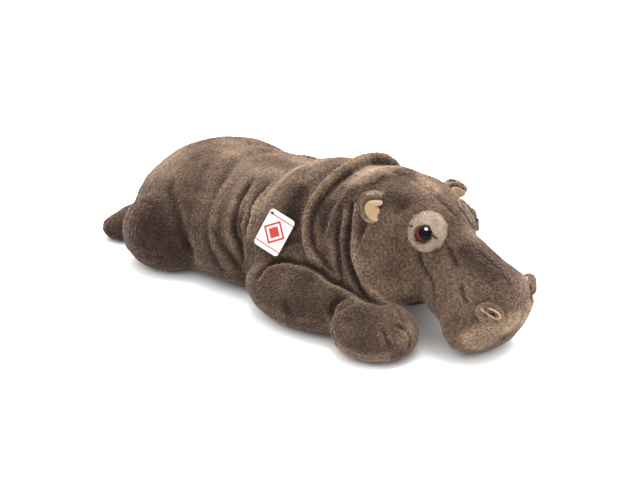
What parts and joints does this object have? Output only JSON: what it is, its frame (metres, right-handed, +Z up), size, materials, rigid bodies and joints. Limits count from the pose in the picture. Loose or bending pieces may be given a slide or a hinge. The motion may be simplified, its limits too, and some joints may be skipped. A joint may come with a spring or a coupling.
{
  "type": "plush toy hippopotamus",
  "caption": "Stuffed plush hippopotamus lying on its belly, chin on the floor, with glass eyes and a swing tag.",
  "frame": {"origin": "on the floor, under the middle of the toy's box", "axes": "+X from the rump to the muzzle, +Y to the toy's left, +Z up"},
  "size_m": [0.4758, 0.2316, 0.1344],
  "materials": {
    "plush": "short brushed pile",
    "pale_plush": "short pale pile",
    "suede": "smooth suede cloth",
    "eye": "clear dome over a brown iris",
    "card": "printed card, stands in for paper board",
    "nylon": "thin dark thread with a bead"
  },
  "bodies": {
    "root": {"trunk": "plush", "hood": "plush", "neck": "plush", "head": "plush", "muzzle": "plush", "foreleg_right": "plush", "forepaw_right": "plush", "hindleg_right": "plush", "foreleg_left": "plush", "forepaw_left": "plush", "hindleg_left": "plush", "tail": "plush", "ear_right": "plush", "ear_left": "plush", "ear_lining_right": "suede", "ear_lining_left": "suede", "eyelid_right": "pale_plush", "eyelid_left": "pale_plush", "eye_right": "eye", "eye_left": "eye", "nostril_right": "plush", "nostril_left": "plush", "nostril_lining_right": "suede", "nostril_lining_left": "suede", "tag": "card", "tag_fastener": "nylon"}
  },
  "joints": []
}
